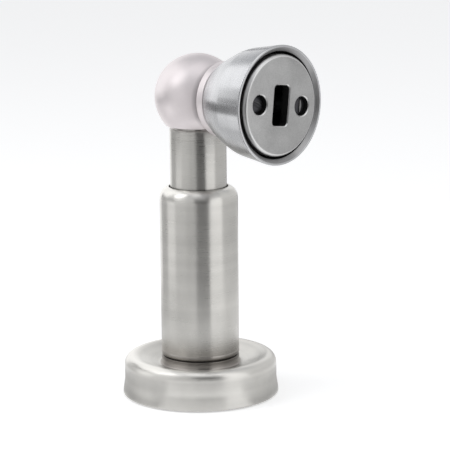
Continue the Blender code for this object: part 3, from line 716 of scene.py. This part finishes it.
def make_nose_ring():
    """The plated ring at the keeper's front, with a spigot that goes into the bell."""
    low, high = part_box("nose_ring")
    radius = high.z - KEEPER_Z
    front = low.x
    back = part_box("keeper_housing")[0].x - GAP
    bore = 9.3 * MM
    spigot_outer, spigot_inner = 11.1 * MM, 10.5 * MM
    corners = [
        (radius, back, 0.45 * MM),
        (radius, front, 1.1 * MM),
        (bore, front, 0.45 * MM),
        (bore, back),
        (spigot_inner, back),
        (spigot_inner, high.x, 0.1 * MM),
        (spigot_outer, high.x, 0.1 * MM),
        (spigot_outer, back),
    ]
    stand_for(turned("nose", rounded(corners, steps=8), PEARL, place=on_keeper_axis()), "nose_ring")


def make_striker():
    """The striker's disc, flange and stem, with a groove round the stem for the clip."""
    low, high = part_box("striker")
    face, end = low.x, high.x
    outer = 8.9 * MM
    flange = high.z - KEEPER_Z
    flange_front, flange_back = 14.6 * MM, 16.1 * MM
    stem = 3.0 * MM
    groove = 2.3 * MM
    groove_front, groove_back = 26.2 * MM, 27.1 * MM
    corners = [
        (0, end),
        (stem, end, 0.4 * MM),
        (stem, groove_back),
        (groove, groove_back),
        (groove, groove_front),
        (stem, groove_front),
        (stem, flange_back),
        (flange, flange_back, 0.3 * MM),
        (flange, flange_front, 0.2 * MM),
        (outer, flange_front),
        (outer, face, 0.5 * MM),
        (0, face),
    ]
    outline = rounded(corners, closed=False)
    stand_for(turned("striker_disc", outline, IRON, closed=False, place=on_keeper_axis()), "striker")


def make_spring():
    """The helix has the same ends as the frame's, built at rest."""
    low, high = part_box("striker_spring")
    wire = 0.5 * MM
    coil = 4.6 * MM
    turns = 4.5
    per_turn = 36
    ring = 12
    start, end = low.x + wire, high.x - wire
    closed_rise = 2.4 * wire
    mesh = bpy.data.meshes.new("coil_spring")
    shape = bmesh.new()
    rings = []
    for i in range(int(turns * per_turn) + 1):
        turn = i / per_turn
        if turn < 1:
            height = start + closed_rise * turn
        elif turn > turns - 1:
            height = end - closed_rise * (turns - turn)
        else:
            height = start + closed_rise + (end - start - 2 * closed_rise) * (turn - 1) / (turns - 2)
        angle = math.tau * turn
        outward = Vector((math.cos(angle), math.sin(angle), 0))
        centre = outward * coil + Vector((0, 0, height))
        verts = []
        for k in range(ring):
            spin = math.tau * k / ring
            off = outward * math.cos(spin) + Vector((0, 0, math.sin(spin)))
            verts.append(shape.verts.new(centre + wire * off))
        rings.append(verts)
    for first, second in zip(rings, rings[1:]):
        for k in range(ring):
            after = (k + 1) % ring
            shape.faces.new((first[k], second[k], second[after], first[after]))
    shape.faces.new(rings[0])
    shape.faces.new(list(reversed(rings[-1])))
    bmesh.ops.recalc_face_normals(shape, faces=shape.faces)
    shape.to_mesh(mesh)
    shape.free()
    shade_by_angle(mesh, 50)
    spring = add_piece("coil_spring", mesh, SPRING, on_keeper_axis())
    stand_for(spring, "striker_spring")
    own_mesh(spring)


def make_housing():
    """The bell: a curved wall, a rim with a funnel inside it, and a bore. The funnel and the bore have
    painted shade.
    """
    low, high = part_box("keeper_housing")
    front, rim = low.x, high.x
    rim_radius = high.z - KEEPER_Z
    front_radius = 12.0 * MM
    knee_x, knee_radius = 26.0 * MM, 16.85 * MM
    wall = 1.5 * MM
    bore = 16.35 * MM
    funnel = 1.15 * MM
    nose_bore = 11.4 * MM
    body = bezier(
        (knee_radius, knee_x),
        (knee_radius - 0.33 * MM, knee_x - 2.2 * MM),
        (13.9 * MM, 17.6 * MM),
        (front_radius, front + 0.25 * MM),
        24,
    )
    outline = rounded(
        [
            (bore, rim - 3 * MM),
            (bore, rim - funnel, 0.15 * MM),
            (bore + funnel + 0.1 * MM, rim, 0.2 * MM),
            (rim_radius, rim, 0.35 * MM),
            (knee_radius, knee_x),
        ],
        closed=False,
        steps=8,
    )
    outline += body[1:]
    outline += [(front_radius - 0.25 * MM, front)]
    outline += [
        (nose_bore, front),
        (nose_bore, 18.0 * MM),
        (11.9 * MM, 18.3 * MM),
        (13.0 * MM, 20.2 * MM),
        (knee_radius - wall, knee_x),
        (15.9 * MM, 31.2 * MM),
        (bore, 31.5 * MM),
    ]
    housing = turned("bell", outline, KEEPER, place=on_keeper_axis())
    housing.data.materials.append(INSIDE_SHADE)
    housing.data.materials.append(FUNNEL_SHADE)
    low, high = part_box("housing_screw")
    hole = add_piece("cut", prism_mesh("cut", 1.8 * MM, 8 * MM, CUT_ROUND), None)
    hole.matrix_world = Matrix.Translation(((low.x + high.x) / 2, 0, low.z))
    carve(housing, [hole])
    # Painted shade inside the bell: the funnel gets the darker metal and the bore the near-black one
    for face in housing.data.polygons:
        radius = math.hypot(face.center.x, face.center.y)
        outward = Vector((face.center.x, face.center.y, 0)).normalized()
        if face.normal.dot(outward) > 0.3:
            continue
        if face.center.z > rim - funnel and radius < bore + funnel:
            face.material_index = PAINTED_EDGE_INDEX
        elif radius < bore + 0.02 * MM:
            face.material_index = INSIDE_SHADE_INDEX
    stand_for(housing, "keeper_housing")


def rounded_rectangle(width, length, corner, turn, steps=10):
    """Corner points in the plane across the keeper's axis: length is upright before the turn."""
    points = []
    for x, y, start in ((1, 1, 0), (-1, 1, 90), (-1, -1, 180), (1, -1, 270)):
        centre = (x * (length / 2 - corner), y * (width / 2 - corner))
        points += arc(centre, corner, start, start + 90, steps)
    return [Matrix.Rotation(turn, 2) @ Vector(point) for point in points]


def lofted_mesh(name, loops):
    """A closed solid through flat loops. Each loop is its points and its height."""
    mesh = bpy.data.meshes.new(name)
    shape = bmesh.new()
    rings = [[shape.verts.new((*point, height)) for point in points] for points, height in loops]
    count = len(rings[0])
    for lower, upper in zip(rings, rings[1:]):
        for k in range(count):
            after = (k + 1) % count
            shape.faces.new((lower[k], lower[after], upper[after], upper[k]))
    shape.faces.new(list(reversed(rings[0])))
    shape.faces.new(rings[-1])
    bmesh.ops.recalc_face_normals(shape, faces=shape.faces)
    shape.to_mesh(mesh)
    shape.free()
    return mesh


def screw_centre(side):
    """The middle of a plate screw, in the plane across the keeper's axis."""
    low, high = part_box(f"plate_screw_{side}")
    return Vector((0, (low.y + high.y) / 2, (low.z + high.z) / 2))


def plate_turn():
    """How far the plate is turned about the keeper's axis, from where its two screws are."""
    across = screw_centre("right") - screw_centre("left")
    return math.atan2(across.z, across.y)


def make_plate():
    """The mounting plate: a disc with a rolled edge, with its slot and the screws' sinks cut out."""
    low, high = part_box("mounting_plate")
    radius = high.z - KEEPER_Z
    face, back = high.x, low.x
    corners = [(0, face), (radius, face, 1.2 * MM), (radius, back, 0.2 * MM), (0, back)]
    outline = rounded(corners, closed=False, steps=10)
    plate = turned("plate", outline, PLATE, closed=False, place=on_keeper_axis())
    plate.data.materials.append(INSIDE_SHADE)
    plate.data.materials.append(EDGE_HIGHLIGHT)

    width, length, corner = 6.5 * MM, 12.4 * MM, 1.3 * MM
    mouth = 0.3 * MM
    turn = plate_turn()
    loops = []
    for wider, height in ((0, back - MM), (0, face - mouth), (mouth + MM, face + MM)):
        points = rounded_rectangle(width + 2 * wider, length + 2 * wider, corner + wider, turn)
        loops.append((points, height))
    cutters = [add_piece("cut", lofted_mesh("cut", loops), None, on_keeper_axis())]
    sink, through = 3.0 * MM, 1.9 * MM
    floor = face - 2.2 * MM
    for side in ("left", "right"):
        centre = screw_centre(side)
        outline = [
            (0, face + MM),
            (sink + mouth + MM, face + MM),
            (sink, face - mouth),
            (sink, floor),
            (through, floor),
            (through, back - MM),
            (0, back - MM),
        ]
        place = Matrix.Translation((0, centre.y, centre.z - KEEPER_Z)) @ on_keeper_axis()
        cutters.append(turned("cut", outline, None, closed=False, segments=SMALL_ROUND, place=place))
    carve(plate, cutters)
    # Painted shade, near-black, in the slot and sinks; painted highlight, bright, on the edge and chamfers
    for polygon in plate.data.polygons:
        x, y, z = polygon.center
        sunk = z < face - mouth - 0.01 * MM and z > back + 0.01 * MM
        if sunk and math.hypot(x, y) < radius - 2 * MM:
            polygon.material_index = INSIDE_SHADE_INDEX
        elif -0.1 < polygon.normal.z < 0.96:
            polygon.material_index = PAINTED_EDGE_INDEX
    stand_for(plate, "mounting_plate")


def make_plate_screws():
    """Two slotted screws. The slots' flared lips carry a painted highlight, faint on the left screw and
    bright on the right one.
    """
    turns = {"left": math.radians(62), "right": plate_turn()}
    for side, turn in turns.items():
        low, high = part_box(f"plate_screw_{side}")
        centre = screw_centre(side)
        head = (high.y - low.y) / 2
        shank = 1.6 * MM
        back = high.x - 0.9 * MM
        crown = 0.6 * MM
        sphere = (head**2 + crown**2) / (2 * crown)
        half_deg = math.degrees(math.asin(head / sphere))
        outline = [(0, high.x)] + arc((0, high.x - sphere), sphere, 90, 90 - half_deg, 8)[1:]
        outline += rounded(
            [
                (head, high.x - crown),
                (head, back, 0.1 * MM),
                (shank, back),
                (shank, low.x, 0.5 * MM),
                (0, low.x),
            ],
            closed=False,
        )[1:]
        place = Matrix.Translation((0, centre.y, centre.z - KEEPER_Z)) @ on_keeper_axis()
        screw = turned(f"slotted_{side}", outline, OXIDE, closed=False, segments=SMALL_ROUND, place=place)
        screw.data.materials.append(EDGE_HIGHLIGHT if side == "right" else OXIDE_HIGHLIGHT)
        width, length, lip, deep = 0.9 * MM, 8 * MM, 0.4 * MM, 0.6 * MM
        loops = []
        for wider, height in ((0, -deep), (0, -lip), (MM, MM - lip)):
            edge = width / 2 + wider
            points = [(-length / 2, -edge), (length / 2, -edge), (length / 2, edge), (-length / 2, edge)]
            loops.append((points, height))
        slot_place = Matrix.Translation((high.x, *centre[1:])) @ Matrix.Rotation(turn, 4, "X")
        slot_place = slot_place @ Matrix.Rotation(math.pi / 2, 4, "Y")
        carve(screw, [add_piece("cut", lofted_mesh("cut", loops), None, slot_place)])
        # Painted highlight on the slot's flared lips
        for face in screw.data.polygons:
            if 0.6 < face.normal.z < 0.8 and face.center.z > back + MM / 4:
                face.material_index = LIP_HIGHLIGHT_INDEX
        stand_for(screw, f"plate_screw_{side}")


# Stage

FLOOR_GLOW = 0.45
WORLD_LOW = (0.34, 0.34, 0.34)  # the sky's colour near the horizon
WORLD_HIGH = (0.74, 0.75, 0.77)
WORLD_STRENGTH = 0.7
AIM = Vector((0.01, 0, 0.06))  # where the lamps point
LAMPS = (  # name, azimuth, elevation, distance, width, height, radiance, and whether reflections show it
    ("key_right", 62, 8, 0.9, 0.25, 0.9, 2.0, False),
    ("left_panel", -80, 45, 0.8, 0.45, 0.5, 1.9, True),
    ("overhead", 20, 80, 1.1, 0.8, 0.8, 0.65, True),
)


def make_floor():
    mesh = bpy.data.meshes.new("floor")
    shape = bmesh.new()
    bmesh.ops.create_grid(shape, x_segments=1, y_segments=1, size=6.0)
    shape.to_mesh(mesh)
    shape.free()
    material, nodes, shader = new_material("studio_floor")
    place = nodes.add("ShaderNodeTexCoord").outputs["Object"]
    fibres = nodes.noise(place, FIBRE_SCALE, detail=3.0)
    colour = nodes.between(nodes.spread(fibres, 0, 1), (0.86, 0.86, 0.86), (0.88, 0.88, 0.88))
    nodes.link(colour, shader.inputs["Base Color"])
    shader.inputs["Roughness"].default_value = 0.9
    shader.inputs["Specular IOR Level"].default_value = 0.1
    shader.inputs["Emission Color"].default_value = (1, 1, 1, 1)
    shader.inputs["Emission Strength"].default_value = FLOOR_GLOW
    add_piece("studio_floor", mesh, material)


def direction(azimuth_deg, elevation_deg):
    """A direction from the object. Azimuth 0 is towards the camera and 90 to the image's right."""
    turn = CAMERA_HEADING - math.pi / 2 + math.radians(azimuth_deg)
    rise = math.radians(elevation_deg)
    return Vector((math.cos(turn) * math.cos(rise), math.sin(turn) * math.cos(rise), math.sin(rise)))


def aimed(place, target):
    turn = (target - place).to_track_quat("-Z", "Y").to_matrix().to_4x4()
    return Matrix.Translation(place) @ turn


NEAR, FAR = (0.13, 0.13), (0.30, 0.30)  # distances of a card's lower and upper edges
LOW, MID, HIGH, SKY = 0.0, 0.07, 0.14, 0.30  # heights of an edge
ON_FLOOR = (0.0005, 0.0005)
CARDS = (  # azimuths, distances and heights of the lower and upper edges, and radiance
    ((-180, -135), NEAR, (LOW, 0.20), 1.15),
    ((-135, -100), NEAR, (LOW, 0.065), 0.62),
    ((-135, -100), NEAR, (0.065, 0.09), 0.16),
    ((-135, -100), NEAR, (0.09, SKY), 1.3),
    ((-100, -70), NEAR, (LOW, 0.045), 1.15),
    ((-100, -70), NEAR, (0.045, 0.06), 1.3),
    ((-100, -70), NEAR, (0.06, 0.095), 0.25),
    ((-100, -82), NEAR, (0.115, SKY), 0.9),
    ((-70, -35), NEAR, (LOW, HIGH), 0.7),
    ((-35, -5), NEAR, (LOW, MID), 0.6),
    ((-35, -12), NEAR, (MID, HIGH), 0.62),
    ((-5, 28), NEAR, (LOW, 0.015), 0.6),
    ((-5, 28), NEAR, (0.015, 0.035), 0.5),
    ((-5, 28), NEAR, (0.035, MID), 0.08),
    ((-12, 24), NEAR, (MID, 0.11), 0.0),
    ((-12, 24), NEAR, (0.11, HIGH), 0.3),
    ((24, 34), NEAR, (MID, HIGH), 0.15),
    ((34, 70), NEAR, (LOW, SKY), 1.15),
    ((70, 115), NEAR, (LOW, SKY), 0.66),
    ((115, 150), NEAR, (LOW, HIGH), 0.65),
    ((150, 180), FAR, (0.045, SKY), 0.85),
    ((150, 180), FAR, (LOW, 0.045), 0.3),
    ((-180, -8), (0.06, 0.30), ON_FLOOR, 0.68),
    ((-8, 30), (0.066, 0.30), ON_FLOOR, 0.0),
    ((30, 80), (0.06, 0.30), ON_FLOOR, 1.05),
    ((80, 180), (0.06, 0.30), ON_FLOOR, 0.9),
    ((65, 120), (0.042, 0.06), ON_FLOOR, 0.95),
    ((-35, 45), (0.0265, 0.042), ON_FLOOR, 1.3),
    ((45, 325), (0.0265, 0.042), ON_FLOOR, 0.55),
)


def soft_box(name, azimuth, elevation, distance, width, height, radiance, shows):
    """A rectangular lamp that the camera doesn't see."""
    light = bpy.data.lights.new(name, "AREA")
    light.shape = "RECTANGLE"
    light.size = width
    light.size_y = height
    light.energy = radiance * math.pi * width * height
    lamp = bpy.data.objects.new(name, light)
    bpy.context.scene.collection.objects.link(lamp)
    lamp.matrix_world = aimed(AIM + direction(azimuth, elevation) * distance, AIM)
    lamp.visible_camera = False
    lamp.visible_glossy = shows


def card(azimuths, distances, heights, radiance):
    """A curved reflector round the object, upright or flat on the floor. Only reflections show it."""
    mesh = bpy.data.meshes.new("card")
    shape = bmesh.new()
    steps = 12
    columns = []
    for i in range(steps + 1):
        way = direction(azimuths[0] + (azimuths[1] - azimuths[0]) * i / steps, 0)
        edges = zip(distances, heights)
        columns.append([shape.verts.new((way.x * away, way.y * away, height)) for away, height in edges])
    for first, second in zip(columns, columns[1:]):
        shape.faces.new((first[0], second[0], second[1], first[1]))
    shape.to_mesh(mesh)
    shape.free()
    material, _, shader = new_material("card")
    shader.inputs["Base Color"].default_value = (0, 0, 0, 1)
    shader.inputs["Specular IOR Level"].default_value = 0
    shader.inputs["Emission Color"].default_value = (1, 1, 1, 1)
    shader.inputs["Emission Strength"].default_value = radiance
    piece = add_piece("card", mesh, material)
    piece.visible_camera = False
    piece.visible_diffuse = False
    piece.visible_shadow = False


def make_light():
    world = bpy.data.worlds.new("studio")
    bpy.context.scene.world = world
    world.use_nodes = True
    nodes = Nodes(world.node_tree)
    background = world.node_tree.nodes["Background"]
    way = nodes.add("ShaderNodeTexCoord").outputs["Generated"]
    xyz = nodes.add("ShaderNodeSeparateXYZ")
    nodes.link(way, xyz.inputs[0])
    rise = nodes.spread(xyz.outputs[2], 0.0, 1.0, from_low=0.05, from_high=0.6)
    nodes.link(nodes.between(rise, WORLD_LOW, WORLD_HIGH), background.inputs["Color"])
    background.inputs["Strength"].default_value = WORLD_STRENGTH
    for lamp in LAMPS:
        soft_box(*lamp)
    for reflector in CARDS:
        card(*reflector)


def make_camera():
    data = bpy.data.cameras.new("camera")
    data.lens = CAMERA_LENS
    camera = bpy.data.objects.new("camera", data)
    bpy.context.scene.collection.objects.link(camera)
    turn = Matrix.Rotation(CAMERA_HEADING, 4, "Z") @ Matrix.Rotation(math.pi / 2 - CAMERA_PITCH, 4, "X")
    camera.matrix_world = Matrix.Translation(CAMERA_PLACE) @ turn @ Matrix.Rotation(CAMERA_ROLL, 4, "Z")
    bpy.context.scene.camera = camera


def finish_frame_nodes():
    """Every node of the frame gets its finish. Those that a finer piece stands for aren't shown."""
    for name, node in frame["nodes"].items():
        node.data.materials.clear()
        node.data.materials.append(FINISHES[SLOT_OF[name]])


finish_frame_nodes()
make_base_cover()
make_foot_collar()
make_sleeve()
make_tube()
make_tube_plug()
make_grub_screws()
make_ball()
make_magnet()
make_nose_ring()
make_striker()
make_spring()
make_housing()
make_plate()
make_plate_screws()
make_floor()
make_light()
make_camera()
bpy.context.scene.view_settings.view_transform = "Standard"
